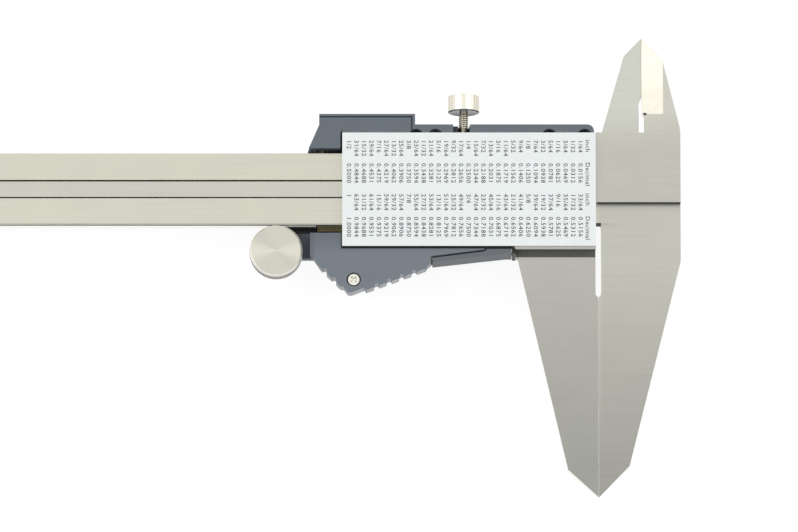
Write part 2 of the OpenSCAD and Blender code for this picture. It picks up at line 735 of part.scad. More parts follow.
module power_button() color("#c24a3a") placed() push_button(button_x[2]);
module unit_button() color("#d8dadb") placed() push_button(button_x[1]);
module zero_button() color("#e0b23a") placed() push_button(button_x[0]);

// ---------- battery ----------

// The tray's lip, with its lower edge drawn in by an inset
module lip_outline(inset)
    polygon([[tray_left, lip_left_top], lip_bend, [lip_bend[0] + 0.6, lip_top], [tray_right, lip_top],
        lip_right + [0, inset], [tray_left, lip_left_low + 1.5 * inset]]);

module battery_tray() color("#7c8590") placed() union() {
    difference() {
        box([tray_left, tray_low_y, tray_z0], [tray_right, tray_end_y, tray_z1]);
        post([tray_mid, cell_y], cell_r + 0.08, tray_z0 - 1, tray_z1 + 1);
    }
    // the lip that closes the housing's lower edge
    slab(case_back_z - lip_h, case_back_z) lip_outline(0);
    slab(case_mid_z - 0.5, case_back_z - lip_h + tiny) lip_outline(0.4);
    slab(tray_z1 - 1.2, case_mid_z - fit) polygon([[tray_left, tray_low_y + 0.15],
        [tray_right, tray_low_y + 0.15], lip_right + [0, 0.4], [tray_left, lip_left_low + 0.6]]);
}

module battery_cell() color("#d5d6d2") placed() union() {
    post([tray_mid, cell_y], cell_r, cell_z, cell_z + cell_h - 0.5);
    post([tray_mid, cell_y], cell_r - 0.9, cell_z, cell_z + cell_h);
}

beam();
scale_board();
scale_film();
end_stop();
end_stop_screws();
slider_frame();
conversion_plate();
depth_rod();
rod_rivets();
gib_strip();
gib_screws();
keeper_plate();
reader_board();
reader_chip();
housing_rear();
housing_front();
display_window();
display_panel();
display_connector();
battery_contacts();
case_screws();
grip_screw_piece();  // grip_screw
key_mat();
wheel_axle();
thumb_wheel();
lock_shoe();
lock_screw();
power_button();
unit_button();
zero_button();
battery_tray();
battery_cell();
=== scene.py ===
# Looks of the electronic caliper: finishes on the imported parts, the printed and turned details that are added
# to them, a white sweep, studio light and the camera of the photograph.
import math

import bpy
from mathutils import Matrix, Vector
from mathutils.bvhtree import BVHTree


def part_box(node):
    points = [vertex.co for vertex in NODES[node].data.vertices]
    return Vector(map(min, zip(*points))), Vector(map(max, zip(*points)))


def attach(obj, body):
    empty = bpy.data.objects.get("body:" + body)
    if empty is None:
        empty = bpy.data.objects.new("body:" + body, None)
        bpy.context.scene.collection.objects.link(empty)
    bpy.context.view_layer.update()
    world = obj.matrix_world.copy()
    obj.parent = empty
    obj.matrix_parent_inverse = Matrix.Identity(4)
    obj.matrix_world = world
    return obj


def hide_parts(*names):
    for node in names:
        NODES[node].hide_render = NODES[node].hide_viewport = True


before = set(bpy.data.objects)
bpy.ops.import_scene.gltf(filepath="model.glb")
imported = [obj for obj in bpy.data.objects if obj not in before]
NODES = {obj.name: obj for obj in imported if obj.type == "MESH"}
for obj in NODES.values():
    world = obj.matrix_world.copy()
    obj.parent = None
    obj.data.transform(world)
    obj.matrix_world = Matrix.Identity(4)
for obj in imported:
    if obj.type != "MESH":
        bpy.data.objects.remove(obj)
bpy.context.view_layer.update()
MM = 0.001


# ---------- places ----------

# Where the closed jaws meet on the beam's middle, in the row frame
JAW_LINE = Vector((0.182, 0.017425, 0.0116))


def at(x, y, z):
    """A point given in millimetres from where the closed jaws meet on the beam's middle."""
    return JAW_LINE + Vector((x, y, z)) * MM


# ---------- camera ----------

IMAGE_W, IMAGE_H = 798, 532
LONG_SIDE = max(IMAGE_W, IMAGE_H)
LENS, SENSOR = 600.0, 36.0
TILT = math.radians(12.5)      # the photograph looks down a little from the jaws' side
DISTANCE = 2.898
AIM = at(-43.42, -17.19, 1.9)
SHIFT_X, SHIFT_Y = 0.0, 0.0

camera_data = bpy.data.cameras.new("camera")
camera_data.sensor_fit = "AUTO"
camera_data.sensor_width = SENSOR
camera_data.lens = LENS
camera_data.shift_x, camera_data.shift_y = SHIFT_X, SHIFT_Y
camera_data.clip_start, camera_data.clip_end = 0.05, 20
camera = bpy.data.objects.new("camera", camera_data)
bpy.context.scene.collection.objects.link(camera)
camera.matrix_world = (Matrix.Translation(AIM) @ Matrix.Rotation(TILT, 4, "X")
                       @ Matrix.Translation((0, 0, DISTANCE)))
bpy.context.scene.camera = camera
EYE = camera.matrix_world.translation.copy()
TO_CAMERA = camera.matrix_world.inverted()
FOCAL = LONG_SIDE * LENS / SENSOR

# Image points of the photograph, in its own pixels. Edges give one number, features give two.
POINTS = {
    "object_right_x": 680.0,
    "object_top_y": 39.4,
    "object_bottom_y": 497.3,
    "jaw_tip": (597.9, 497.3),
    "inside_jaw_tip": (641.0, 39.6),
    "sliding_jaw_knee": (567.9, 469.3),
    "fixed_jaw_knee": (629.5, 465.7),
    "slit_end": (598.3, 297.2),
    "conversion_plate_top_left": (342.3, 132.5),
    "conversion_plate_low_right": (595.9, 246.6),
    "lock_screw": (463.9, 113.5),
    "thumb_wheel": (276.1, 252.6),
    "grip_screw": (353.8, 279.5),
    "block_top_right": (415.3, 114.4),
    "grip_tip": (349.5, 295.5),
    "frame_low_left_of_jaw": (515.2, 251.5),
    "inside_jaw_shoulder": (662.7, 64.6),
    "first_row": (580.8, 188.4),
    "last_row": (349.2, 188.4),
    "reader_pads": (329.2, 229.8),
}


def sight(x, y):
    """The direction of the line of sight through an image point."""
    ray = Vector((x - IMAGE_W / 2 + SHIFT_X * LONG_SIDE, IMAGE_H / 2 - y + SHIFT_Y * LONG_SIDE, -FOCAL))
    return (camera.matrix_world.to_3x3() @ ray).normalized()


def shown(place):
    """The image point at which a place shows."""
    seen = TO_CAMERA @ place
    return (IMAGE_W / 2 - SHIFT_X * LONG_SIDE - seen.x * FOCAL / seen.z,
            IMAGE_H / 2 + SHIFT_Y * LONG_SIDE + seen.y * FOCAL / seen.z)


def on_surface(x, y, *carriers):
    """Where the sight line through an image point first meets the carriers, or their place nearest to it."""
    ray, best, nearest = sight(x, y), None, None
    for carrier in carriers:
        places = [v.co for v in carrier.data.vertices]
        tree = BVHTree.FromPolygons(places, [p.vertices for p in carrier.data.polygons])
        hit, _, _, reach = tree.ray_cast(EYE, ray)
        if hit is not None and (best is None or reach < best[0]):
            best = (reach, hit)
        for place in places:
            off = (place - EYE).cross(ray).length
            if nearest is None or off < nearest[0]:
                nearest = (off, place.copy())
    return best[1] if best else nearest[1]


# ---------- finishes ----------

BLACK = [0, 0, 0, 1]
MOST = (0.3, 0.7)              # the values between which most of a noise lies
CORNER_R = 0.12                # how far corners are stoned or moulded round, mm
GRIT, GRIT_DEPTH = 0.22, 0.012  # width and depth of one grain of the moulds' grit, mm


def colour(code):
    """An sRGB hex colour as the linear colour that the shader takes."""
    parts = [int(code[i:i + 2], 16) / 255 for i in (0, 2, 4)]
    return [c / 12.92 if c <= 0.04045 else ((c + 0.055) / 1.055) ** 2.4 for c in parts] + [1.0]


def shade(code, factor):
    """A hex colour with its light multiplied."""
    return [min(1, c * factor) for c in colour(code)[:3]] + [1.0]


def add(tree, kind, sockets=(), **settings):
    """Adds one node. A socket's value is a number or colour, or the output of another node."""
    made = tree.nodes.new("ShaderNode" + kind)
    for name, value in settings.items():
        setattr(made, name, value)
    for name, value in dict(sockets).items():
        if isinstance(value, bpy.types.NodeSocket):
            tree.links.new(value, made.inputs[name])
        else:
            made.inputs[name].default_value = value
    return made


def finish(name):
    """A new material with its tree, its surface output and Object coordinates."""
    made = bpy.data.materials.new(name)
    made.use_nodes = True
    tree = made.node_tree
    tree.nodes.clear()
    place = add(tree, "TexCoord").outputs["Object"]
    return made, tree, tree.nodes.new("ShaderNodeOutputMaterial"), place


def grain(tree, place, size, detail=2.0, rough=0.5):
    """Noise whose lumps have the given size in millimetres along X, Y and Z."""
    scaled = add(tree, "Mapping", {"Vector": place, "Scale": [1 / (s * MM) for s in size]}).outputs[0]
    sockets = {"Vector": scaled, "Scale": 1.0, "Detail": detail, "Roughness": rough}
    return add(tree, "TexNoise", sockets).outputs["Fac"]


def laid_over(tree, base, top, value, start, full, share=1.0):
    """One colour laid over another where a value runs from start, where the top one doesn't show, to full,
    where it covers the given share."""
    cover = add(tree, "MapRange", {"Value": value, "From Min": start, "From Max": full, "To Max": share})
    return add(tree, "Mix", {0: cover.outputs[0], 6: base, 7: top}, data_type="RGBA").outputs[2]


def stained(tree, place, base, stains_and_painted_light):
    """The base colour with stains and painted shade and light laid over it, and how far a place is
    covered by them. A mark is two opposite corners of its box, in millimetres from the jaws' line, and its
    colour."""
    stain_and_painted_light_cover = 0.0
    for low, high, code in stains_and_painted_light:
        middle, half = (at(*low) + at(*high)) / 2, (at(*high) - at(*low)) / 2
        off = add(tree, "VectorMath", {0: place, 1: list(middle)}, operation="SUBTRACT").outputs[0]
        off = add(tree, "VectorMath", {0: off, 1: list(half)}, operation="DIVIDE").outputs[0]
        off = add(tree, "VectorMath", {0: off}, operation="ABSOLUTE").outputs[0]
        sides = add(tree, "SeparateXYZ", {0: off}).outputs
        most = add(tree, "Math", {0: sides["X"], 1: sides["Y"]}, operation="MAXIMUM").outputs[0]
        most = add(tree, "Math", {0: most, 1: sides["Z"]}, operation="MAXIMUM").outputs[0]
        inside = add(tree, "MapRange", {"Value": most, "From Min": 1.03, "From Max": 0.97}).outputs[0]
        base = laid_over(tree, base, colour(code), inside, 0, 1)
        stain_and_painted_light_cover = add(tree, "Math", {0: stain_and_painted_light_cover, 1: inside}, operation="MAXIMUM").outputs[0]
    return base, stain_and_painted_light_cover


def worn_corner(tree):
    """A normal rounded over the corners, and how far a place is over a corner."""
    corner = add(tree, "Bevel", {"Radius": CORNER_R * MM}, samples=6).outputs[0]
    flat = add(tree, "NewGeometry").outputs["Normal"]
    turn = add(tree, "VectorMath", {0: corner, 1: flat}, operation="DOT_PRODUCT").outputs["Value"]
    return corner, add(tree, "MapRange", {"Value": turn, "From Min": 0.995, "From Max": 0.9}).outputs[0]


def upright(tree, none_at, full_at):
    """How far a face stands upright: 0 where its normal rises none_at or more, 1 where it rises full_at or
    less."""
    rise = add(tree, "SeparateXYZ", {0: add(tree, "TexCoord").outputs["Normal"]}).outputs["Z"]
    rise = add(tree, "Math", {0: rise}, operation="ABSOLUTE").outputs[0]
    return add(tree, "MapRange", {"Value": rise, "From Min": none_at, "From Max": full_at}).outputs[0]


def ground_steel(name, tones, roughness, lines, stains_and_painted_light):
    """Stainless steel off a surface grinder: fine parallel lines, soft wide reflections, a faint cloudiness
    where hands have been, and corners stoned to a narrow chamfer. The upright faces are polished, and their
    near-white colour is a painted brightening of what they mirror. tones are the bar's, the jaws', the jaw
    tips' and the inside jaws', which are ground in other passes; the darker tone towards the tips is painted
    shade. lines is the size of one streak in millimetres. The real lines are about 0.05 mm apart, too fine
    for the picture, so they are drawn several times coarser."""
    made, tree, out, place = finish(name)
    streaks = grain(tree, place, lines, 3.0, 0.6)
    clouds = grain(tree, place, (9, 9, 9), 3.0)
    spot = add(tree, "SeparateXYZ", {0: place}).outputs
    bar, jaw, tip, horn = (colour(code) for code in tones)
    base = laid_over(tree, bar, jaw, spot["X"], at(-0.6, 0, 0).x, at(1.0, 0, 0).x)
    # painted shade: the jaws darken towards their tips
    base = laid_over(tree, base, tip, spot["Y"], at(0, -16, 0).y, at(0, -64, 0).y)
    base = laid_over(tree, base, horn, spot["Y"], at(0, 8, 0).y, at(0, 18, 0).y)
    base = laid_over(tree, base, BLACK, streaks, *MOST, share=0.07)
    base = laid_over(tree, base, BLACK, clouds, 0.35, 0.75, share=0.06)
    corner, worn = worn_corner(tree)
    base = laid_over(tree, base, colour("b4b3aa"), worn, 0, 1, share=0.6)
    # the upright faces are polished, and their near-white colour is a painted brightening of what they mirror
    side = upright(tree, 0.5, 0.2)
    base = laid_over(tree, base, colour("f4f3ee"), side, 0, 1)
    base, stain_and_painted_light_cover = stained(tree, place, base, stains_and_painted_light)
    bump = add(tree, "Bump", {"Height": streaks, "Strength": 0.16, "Distance": 0.01 * MM, "Normal": corner})
    face_rough = add(tree, "MapRange", {"Value": clouds, "From Min": MOST[0], "From Max": MOST[1],
                                        "To Min": roughness - 0.04, "To Max": roughness + 0.04}).outputs[0]
    rough = add(tree, "Mix", {0: side, 2: face_rough, 3: 0.09}).outputs[0]
    # where stains and painted shade are laid, the steel turns dull and not metallic
    rough = add(tree, "Mix", {0: stain_and_painted_light_cover, 2: rough, 3: 0.6}).outputs[0]
    metallic = add(tree, "MapRange", {"Value": stain_and_painted_light_cover, "To Min": 1.0, "To Max": 0.0}).outputs[0]
    shader = add(tree, "BsdfPrincipled", {"Base Color": base, "Metallic": metallic, "Roughness": rough,
                                          "Normal": bump.outputs[0]})
    tree.links.new(shader.outputs[0], out.inputs["Surface"])
    return made


def turned_steel(name, centre, face_r, tone, ring, rim, roughness):
    """Steel faced in a lathe: rings round the axis, so that light gathers in a bow tie. Outside face_r, in
    millimetres, the chamfer is polished by thumbs. The rim between the two faces is knurled, and its darker
    colour is painted shade for the knurl's grooves."""
    made, tree, out, place = finish(name)
    from_axis = add(tree, "VectorMath", {0: place, 1: list(centre)}, operation="SUBTRACT").outputs[0]
    flat_out = add(tree, "VectorMath", {0: from_axis, 1: [1, 1, 0]}, operation="MULTIPLY").outputs[0]
    reach = add(tree, "VectorMath", {0: flat_out}, operation="LENGTH").outputs["Value"]
    tangent = add(tree, "VectorTransform", {"Vector": flat_out}, vector_type="VECTOR", convert_from="OBJECT",
                  convert_to="WORLD").outputs[0]
    rings_at = add(tree, "CombineXYZ", {"X": reach}).outputs[0]
    rings = grain(tree, rings_at, (0.16, 1, 1))   # tool marks about 0.16 mm apart
    base = laid_over(tree, colour(tone), shade(tone, 0.9), rings, *MOST)
    base = laid_over(tree, base, colour(ring), reach, (face_r - 0.05) * MM, (face_r + 0.05) * MM)
    # painted shade: the knurled rim is darker
    base = laid_over(tree, base, colour(rim), upright(tree, 0.75, 0.3), 0, 1)
    bump = add(tree, "Bump", {"Height": rings, "Strength": 0.3, "Distance": 0.01 * MM})
    shader = add(tree, "BsdfPrincipled", {"Base Color": base, "Metallic": 1.0, "Roughness": roughness,
                                          "Anisotropic": 0.85, "Tangent": tangent, "Normal": bump.outputs[0]})
    tree.links.new(shader.outputs[0], out.inputs["Surface"])
    return made


def moulded(name, tone, lower_tone, wall_highlight, roughness, stains_and_painted_light=()):
    """Moulded plastic out of a spark-eroded tool: an even fine grit that keeps highlights broad and dull, with
    slightly rounded and lighter corners. It takes a second tone lower down, and faces that look down get a
    pale painted highlight. The grit is drawn about twice the real size so that it shows."""
    made, tree, out, place = finish(name)
    grit = grain(tree, place, (GRIT, GRIT, GRIT))
    flow = grain(tree, place, (14, 9, 9))
    height = add(tree, "SeparateXYZ", {0: place}).outputs["Y"]
    # painted highlight: faces that look down, towards -Y, take a pale colour; lower down the plastic takes a
    # second tone
    facing = add(tree, "SeparateXYZ", {0: add(tree, "TexCoord").outputs["Normal"]}).outputs["Y"]
    lower_tone_and_wall_highlight = laid_over(tree, colour(lower_tone), colour(wall_highlight), facing, -0.5, -0.9)
    base = laid_over(tree, colour(tone), lower_tone_and_wall_highlight, height, at(0, -11, 0).y, at(0, -15, 0).y)
    base = laid_over(tree, base, BLACK, flow, *MOST, share=0.08)
    base = laid_over(tree, base, BLACK, grit, 0.35, 0.65, share=0.1)
    corner, worn = worn_corner(tree)
    base = laid_over(tree, base, shade(tone, 1.25), worn, 0, 1, share=0.3)
    base = stained(tree, place, base, stains_and_painted_light)[0]
    bump = add(tree, "Bump", {"Height": grit, "Strength": 0.5, "Distance": GRIT_DEPTH * MM, "Normal": corner})
    shader = add(tree, "BsdfPrincipled", {"Base Color": base, "Roughness": roughness, "IOR": 1.53,
                                          "Normal": bump.outputs[0]})
    tree.links.new(shader.outputs[0], out.inputs["Surface"])
    return made


def plain(name, tone, roughness, metallic=0.0, ior=1.5, lump=0.6, vary=0.12, bump_mm=0.004, stains_and_painted_light=()):
    """A plain finish with a little unevenness of tone and surface; lump is its size in millimetres."""
    made, tree, out, place = finish(name)
    noise = grain(tree, place, (lump, lump, lump), 3.0)
    base = laid_over(tree, shade(tone, 1 - vary), colour(tone), noise, *MOST)
    base = stained(tree, place, base, stains_and_painted_light)[0]
    bump = add(tree, "Bump", {"Height": noise, "Strength": 0.4, "Distance": bump_mm * MM})
    sockets = {"Base Color": base, "Roughness": roughness, "Metallic": metallic, "Normal": bump.outputs[0]}
    if not metallic:
        sockets["IOR"] = ior
    shader = add(tree, "BsdfPrincipled", sockets)
    tree.links.new(shader.outputs[0], out.inputs["Surface"])
    return made


def clear_acrylic(name):
    """Clear cast acrylic: nearly colourless, polished, a soft reflection."""
    made, tree, out, place = finish(name)
    ripple = grain(tree, place, (12, 12, 12), 1.0)
    bump = add(tree, "Bump", {"Height": ripple, "Strength": 0.1, "Distance": 0.02 * MM})
    shader = add(tree, "BsdfPrincipled", {"Base Color": colour("f2f6f6"), "Roughness": 0.04, "IOR": 1.49,
                                          "Transmission Weight": 1.0, "Normal": bump.outputs[0]})
    tree.links.new(shader.outputs[0], out.inputs["Surface"])
    return made


# Stains and painted shade and light: two opposite corners of a box, in millimetres from the jaws' line, and the
# colour inside it
BEAM_SHADE = [
    ((-0.75, -8.6, -2), (0.75, -7.4, 1.8), "0c0c0c"),        # painted shade where the jaws' slit meets the beam
    ((-400, -2.1, 0.2), (0, -1.68, 1.78), "16161a"),         # painted shade on the groove's sides, beside the depth rod
    ((-400, 1.68, 0.2), (0, 2.1, 1.78), "16161a"),
    ((-400, -8.1, 1.72), (-0.8, -7.66, 1.9), "8c8b84"),      # painted shade on the chamfer along the lower edge
    ((-400, -8.1, 0.9), (-0.8, -7.95, 1.7), "8c8876"),       # painted shade on the lower side next to that chamfer
]
FRAME_SHADE = [
    ((-18.9, -15.28, 0.5), (0, -13.4, 0.95), "5a5a58"),      # painted shade below the frame, on the sliding jaw
    ((-56, -13.54, 2.5), (-18.2, -12.9, 3.52), "1c1e20"),    # painted shade on the frame's lower side under the plate
    ((-0.4, -3.35, 1.7), (18.2, -3.25, 3.53), "0d0d0d"),     # painted shade on the lower side of the inside jaw's arm
    ((9.9, 16.1, 2.1), (10.75, 17.0, 2.4), "343432"),        # painted shade in the notch at the foot of the inside jaw
]
ROD_SHADE = [
    ((-400, -1.8, -2), (0, -1.7, 1.6), "16161a"),            # painted shade on the rod's two sides
    ((-400, 1.7, -2), (0, 1.8, 1.6), "16161a"),
]
LOCK_THREAD_AND_SHADE = [
    ((-31, 9, -2), (-27.6, 17.5, 2), "a8a599"),              # the thread
    ((-33, 17.4, -3.6), (-25.6, 17.64, 3.6), "a4a4a6"),      # painted shade on the underside of the head
]
GRIP_CROSS_SHADE = [((-54.2, -21.2, 2.3), (-52.3, -19.2, 2.8), "4a4430")]     # painted shade in the cross in the screw's head
HOUSING_SHADE = [
    ((-76, -21, -12), (-62, -8, 3.15), "4c525a"),            # painted shade on the arm of the thumb wheel
    ((-56.12, -13.6, -4), (-55.7, 13, 3.3), "2e3230"),       # painted shade in the gap left of the conversion plate
    ((-31.7, 12, 1.15), (-27.8, 14.3, 1.35), "0e1012"),      # painted shade round the lock screw
]
CASE_SHADE = [((-19.2, -15, -12), (-17, -13.3, 3.3), "040506")]         # the end piece beside the sliding jaw: the case's own near-black, deepened by painted shade
BOARD_LIGHT = [((-60.95, 8.1, -3), (-59.3, 9.8, -1), "b4b08c")]         # painted light on the board's corner above the beam, which lies in shade

WHEEL_LOW, WHEEL_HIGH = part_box("thumb_wheel")
WHEEL_AXIS = (WHEEL_LOW + WHEEL_HIGH) / 2
WHEEL_FACE_R = 5.33            # where the wheel's turned face ends and its polished chamfer starts, mm

# steel of the measuring parts: warm grey, satin along the beam, duller on the frame, finest on the drawn rod
BEAM_STEEL = ground_steel("stainless_steel_ground_lengthways", ("cbc9bc", "bbbbb2", "9d9c96", "c6c7be"),
                          0.34, (22, 0.28, 0.28), BEAM_SHADE)
FRAME_STEEL = ground_steel("stainless_steel_ground_matt", ("b1afa9", "b8b7ae", "9b9c95", "c4c3b9"),
                           0.36, (12, 0.28, 0.28), FRAME_SHADE)
ROD_STEEL = ground_steel("stainless_steel_drawn", ("c7c6bb", "c7c6bb", "c7c6bb", "c7c6bb"),
                         0.30, (30, 0.3, 0.3), ROD_SHADE)
# the thumb wheel's turned steel: a bow tie of light inside a bright ring, and a knurled rim darkened by painted
# shade
WHEEL_STEEL = turned_steel("stainless_steel_faced_and_knurled", WHEEL_AXIS, WHEEL_FACE_R,
                           "cdccc0", "eceae0", "4a463c", 0.28)
# nickel plate: warm, bright and glossy
BRIGHT_NICKEL = plain("nickel_plated_steel_turned", "e6e3d7", 0.24, 1.0, lump=0.5, vary=0.08)
LOCK_NICKEL = plain("nickel_plated_steel_turned_lock", "e6e3d7", 0.3, 1.0, lump=0.5, vary=0.06,
                    stains_and_painted_light=LOCK_THREAD_AND_SHADE)
GRIP_NICKEL = plain("nickel_plated_steel_crossed", "efece0", 0.22, 1.0, lump=0.5, vary=0.08,
                    stains_and_painted_light=GRIP_CROSS_SHADE)
# zinc plate: a cooler and duller grey; blackened steel: nearly black with a faint sheen
ZINC = plain("steel_zinc_plated", "b9b7ae", 0.35, 1.0, lump=0.8)
BLACKED = plain("steel_blackened", "2a2a28", 0.5, 0.6, lump=0.8)
# brass and gold plate: yellow metal, darker and browner on the small pads
BRASS = plain("brass_rolled", "c8a860", 0.32, 1.0, lump=2.0)
GOLD_PADS = plain("copper_gold_plated", "8a7440", 0.3, 1.0, lump=0.4)
# stoved enamel: an even cool white with a soft gloss
ENAMEL = plain("enamel_white_stoved", "f5fbfa", 0.42, lump=1.4, vary=0.035, bump_mm=0.006)
# screen printed inks: flat and slightly uneven
INK = plain("ink_grey_screen_printed", "464c50", 0.6, lump=0.25, vary=0.2)
WHITE_INK = plain("ink_white_screen_printed", "dfe2e2", 0.55, lump=0.3, vary=0.08)
# housing plastic: blue grey with a dull grit, paler lower down, with a painted highlight on faces that look
# down; the case is nearly black
SLATE = moulded("abs_slate_grey_moulded", "636d75", "777f87", "c8ccd0", 0.52, HOUSING_SHADE)
TRAY_SLATE = moulded("abs_slate_grey_moulded_tray", "656b71", "656b71", "656b71", 0.52)
GRAPHITE = moulded("abs_graphite_moulded", "13161b", "13161b", "13161b", 0.5, CASE_SHADE)
# electronics: brown lacquer on the boards, glossy black resin on the chip, silver foil under the scale
LACQUER = plain("circuit_board_lacquered", "6a6546", 0.35, lump=0.5, vary=0.3, stains_and_painted_light=BOARD_LIGHT)
RESIN = plain("epoxy_black_potted", "151515", 0.25, lump=1.0)
FOIL = plain("polycarbonate_foil_printed_silver", "b8bcc0", 0.4, 0.35, lump=1.0)
# display: dark segments on a smooth grey green, behind a clear window
SEGMENTS = plain("liquid_crystal_segments_dark", "1d2422", 0.3, lump=1.0, vary=0.05, bump_mm=0.001)
LIQUID_CRYSTAL = plain("liquid_crystal_panel", "a4ad98", 0.12, lump=3.0, vary=0.04, bump_mm=0.001)
ACRYLIC = clear_acrylic("acrylic_clear_cast")
# silicone rubber: soft and without gloss
SILICONE = plain("silicone_pale_moulded", "c4c0b4", 0.7, ior=1.41)
BLACK_SILICONE = plain("silicone_conductive_black", "2a2a2c", 0.75, ior=1.41)
# keys: smooth moulded plastic with a semi-gloss
RED_KEY = plain("abs_red_moulded", "b8402f", 0.38, lump=0.3, vary=0.06)
GREY_KEY = plain("abs_pale_grey_moulded", "cfd2d3", 0.38, lump=0.3, vary=0.06)
AMBER_KEY = plain("abs_amber_moulded", "dca52f", 0.38, lump=0.3, vary=0.06)

DRESS = {
    "beam": BEAM_STEEL, "end_stop": FRAME_STEEL, "slider_frame": FRAME_STEEL, "keeper_plate": FRAME_STEEL,
    "depth_rod": ROD_STEEL, "scale_board": LACQUER, "scale_film": FOIL, "end_stop_screws": ZINC,
    "conversion_plate": ENAMEL, "rod_rivets": ZINC, "gib_strip": BRASS, "gib_screws": BLACKED,
    "reader_board": LACQUER, "reader_chip": RESIN, "housing_rear": SLATE, "housing_front": GRAPHITE,
    "display_window": ACRYLIC, "display_panel": LIQUID_CRYSTAL, "display_connector": BLACK_SILICONE,
    "battery_contacts": BRASS, "case_screws": ZINC, "grip_screw": GRIP_NICKEL, "key_mat": SILICONE,
    "wheel_axle": ZINC, "thumb_wheel": WHEEL_STEEL, "lock_shoe": BRASS, "lock_screw": BRIGHT_NICKEL,
    "power_button": RED_KEY, "unit_button": GREY_KEY, "zero_button": AMBER_KEY, "battery_tray": TRAY_SLATE,
    "battery_cell": BRIGHT_NICKEL,
}
for node_name, material in DRESS.items():
    node = NODES[node_name]
    if not node.material_slots:
        node.data.materials.append(material)
    for slot in node.material_slots:
        slot.material = material


# ---------- making pieces ----------

EDGES, FACES = (False, True, False), (False, False, True)     # what is picked in edit mode


def only(piece):
    """Selects one piece alone and makes it the active one."""
    bpy.ops.object.select_all(action="DESELECT")
    piece.select_set(True)
    bpy.context.view_layer.objects.active = piece


def settle(piece, name, material, body):
    """Applies a finished piece's place to its mesh, names and dresses it, and lets it ride on its body."""
    only(piece)
    bpy.ops.object.transform_apply(location=True, rotation=True, scale=True)
    piece.name = piece.data.name = name
    piece.data.materials.clear()
    piece.data.materials.append(material)
    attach(piece, body)
    return piece


def join(pieces):
    """Joins pieces into the first one."""
    only(pieces[0])
    for piece in pieces:
        piece.select_set(True)
    bpy.ops.object.join()
    return pieces[0]


def edit(piece, mode):
    """Clears the selection of one piece's vertices, edges and faces, and sets which of them are picked."""
    only(piece)
    bpy.context.tool_settings.mesh_select_mode = mode
    bpy.ops.object.mode_set(mode="EDIT")
    bpy.ops.mesh.select_all(action="DESELECT")
    bpy.ops.object.mode_set(mode="OBJECT")


def pick(parts, wanted):
    """Selects those edges or faces for which wanted is true, and goes into edit mode."""
    for part in parts:
        part.select = bool(wanted(part))
    bpy.ops.object.mode_set(mode="EDIT")


def solid_bar(radius, low_y, high_y, sides, centre):
    """A closed cylinder along Y, with its radius in millimetres."""
    bpy.ops.object.select_all(action="DESELECT")
    bpy.ops.mesh.primitive_cylinder_add(
        vertices=sides, radius=radius * MM, depth=high_y - low_y,
        location=(centre.x, (low_y + high_y) / 2, centre.z), rotation=(math.radians(90), 0, 0))
    bar = bpy.context.object
    bpy.ops.object.transform_apply(location=True, rotation=True, scale=True)
    return bar


CAP_SHARE = 0.73               # the capitals and figures are this share of their body high


def lettering(lines, cap, spacing, place, turn, bold=0.0, thick=0.004):
    """Lines of text as a thin solid mesh. cap is the height of the figures in millimetres, spacing that from
    line to line; place is where the first line's foot begins, and turn is how the text is turned, in
    degrees. bold is how far each stroke's edge is moved outwards, and thick is the print's thickness, both in
    millimetres."""
    bpy.ops.object.select_all(action="DESELECT")
    bpy.ops.object.text_add(location=place, rotation=[math.radians(a) for a in turn])
    text = bpy.context.object
    text.data.body = "\n".join(lines)
    text.data.size = cap / CAP_SHARE * MM
    text.data.space_line = spacing / (cap / CAP_SHARE)
    text.data.offset = bold * MM
    text.data.space_character = 1.1
    text.data.extrude = thick * MM / 2
    text.data.resolution_u = 2
    text.data.align_x, text.data.align_y = "LEFT", "TOP_BASELINE"
    bpy.ops.object.convert(target="MESH")
    text = bpy.context.object
    bpy.ops.object.transform_apply(location=True, rotation=True, scale=True)
    return text


def fitted(piece, axis, low, high):
    """Stretches a piece's mesh along one axis until it just fills a span."""
    values = [v.co[axis] for v in piece.data.vertices]
    factor = (high - low) / (max(values) - min(values))
    start = min(values)
    for v in piece.data.vertices:
        v.co[axis] = low + (v.co[axis] - start) * factor
    return piece


# ---------- conversion table on the back plate ----------

PLATE = NODES["conversion_plate"]
PLATE_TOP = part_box("conversion_plate")[1].z
TABLE_CAP = 1.0                # height of the figures, mm
TABLE_BOLD = 0.014             # how far each stroke's edge is moved outwards, mm
TABLE_LIFT = 0.004             # how far the middle of the print lies above the plate, mm
TABLE_TURN = (0, 0, -90)       # the lines run down the plate
ROWS = 32
PARTS = 64                     # the table goes up in sixty-fourths of an inch
ROW_FIRST = on_surface(*POINTS["first_row"], PLATE)
ROW_LAST = on_surface(*POINTS["last_row"], PLATE)
ROW_PITCH = (ROW_FIRST.x - ROW_LAST.x) / (ROWS - 1) / MM
# Each column, in millimetres from the jaws' line and the beam's middle: where its longest line starts and ends;
# where the middle of its heading's height lies along the beam, and where the heading starts and ends. Then its
# heading, how many sixty-fourths come before it, and whether it holds the fractions
COLUMNS = [
    ((10.49, 6.93), (-2.20, 10.56, 7.9), "inch", 0, True),
    ((5.32, 0.94), (-2.22, 5.43, 0.29), "Decimal", 0, False),
    ((-1.5, -5.21), (-2.24, -1.43, -4.09), "inch", ROWS, True),
    ((-6.66, -11.11), (-2.25, -6.6, -11.73), "Decimal", ROWS, False),
]


def fraction(count):
    """So many sixty-fourths of an inch as the shortest fraction."""
    shared = math.gcd(count, PARTS)
    return "1" if count == PARTS else f"{count // shared}/{PARTS // shared}"


def plate_text(lines, spacing, middle, start, end):
    """Lines that run down the plate: the middle of the first one's height, and where the longest one starts
    and ends, in millimetres above the beam's middle."""
    top, low = at(0, start, 0).y, at(0, end, 0).y
    foot = (middle.x - TABLE_CAP / 2 * MM, top, PLATE_TOP + TABLE_LIFT * MM)
    return fitted(lettering(lines, TABLE_CAP, spacing, foot, TABLE_TURN, TABLE_BOLD), 1, low, top)


